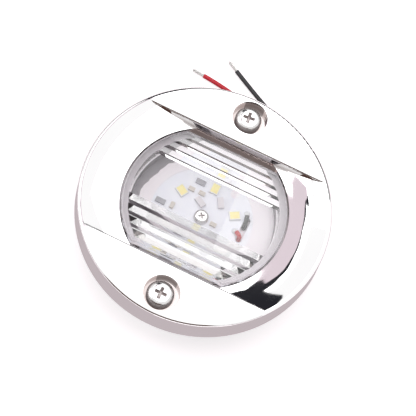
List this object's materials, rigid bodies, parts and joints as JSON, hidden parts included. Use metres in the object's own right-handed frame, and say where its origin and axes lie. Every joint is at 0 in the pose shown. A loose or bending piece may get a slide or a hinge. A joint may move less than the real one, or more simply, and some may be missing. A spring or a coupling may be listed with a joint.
{
  "type": "navigation light",
  "caption": "Round flush-mounting navigation light: polished bezel with a dished channel, clear ribbed lens over a board of LEDs, sealed rear housing, pan-head mounting screws, two leads.",
  "frame": {"origin": "under the middle of the bezel, on the plane the housing's rear face stands on", "axes": "+Z the way the light shines, +X along the light channel, +Y towards the upper mounting screw"},
  "size_m": [0.076, 0.0955, 0.023],
  "materials": {
    "bezel_steel": "mirror-polished cast stainless steel",
    "lens_clear": "clear polycarbonate",
    "seal_rubber": "matt",
    "housing_plastic": "fine moulded grain",
    "potting_resin": "slightly uneven poured surface",
    "board_mask": "satin solder mask",
    "led_body": "smooth",
    "led_phosphor": "smooth",
    "resistor_body": "smooth",
    "diode_body": "smooth",
    "capacitor_body": "smooth",
    "chip_body": "matt",
    "lens_adhesive": "satin",
    "solder": "bright",
    "screw_steel": "bright stainless",
    "gasket_rubber": "matt",
    "gland_rubber": "matt",
    "lead_red_pvc": "satin insulation",
    "lead_black_pvc": "satin insulation",
    "tinned_copper": "fine strands"
  },
  "bodies": {
    "light": {"bezel": "bezel_steel", "lens": "lens_clear", "lens_bond": "lens_adhesive", "lens_seal": "seal_rubber", "rear_housing": "housing_plastic", "potting": "potting_resin", "led_board": "board_mask", "led_packages": "led_body", "led_phosphors": "led_phosphor", "resistors": "resistor_body", "diodes": "diode_body", "capacitors": "capacitor_body", "driver_chip": "chip_body", "solder_joints": "solder", "board_screw": "screw_steel", "clamp_screws": "screw_steel", "mounting_gasket": "gasket_rubber", "lead_gland": "gland_rubber", "lead_stub_red": "lead_red_pvc", "lead_stub_black": "lead_black_pvc", "lead_red": "lead_red_pvc", "lead_black": "lead_black_pvc", "lead_end_red": "tinned_copper", "lead_end_black": "tinned_copper"},
    "screw_upper": {"mounting_screw_upper": "screw_steel"},
    "screw_lower": {"mounting_screw_lower": "screw_steel"}
  },
  "joints": [
    {"name": "screw_upper_out", "type": "slide", "parent": "light", "child": "screw_upper", "axis": [0, 0, 1], "range_m": [0, 0.03]},
    {"name": "screw_lower_out", "type": "slide", "parent": "light", "child": "screw_lower", "axis": [0, 0, 1], "range_m": [0, 0.03]}
  ]
}
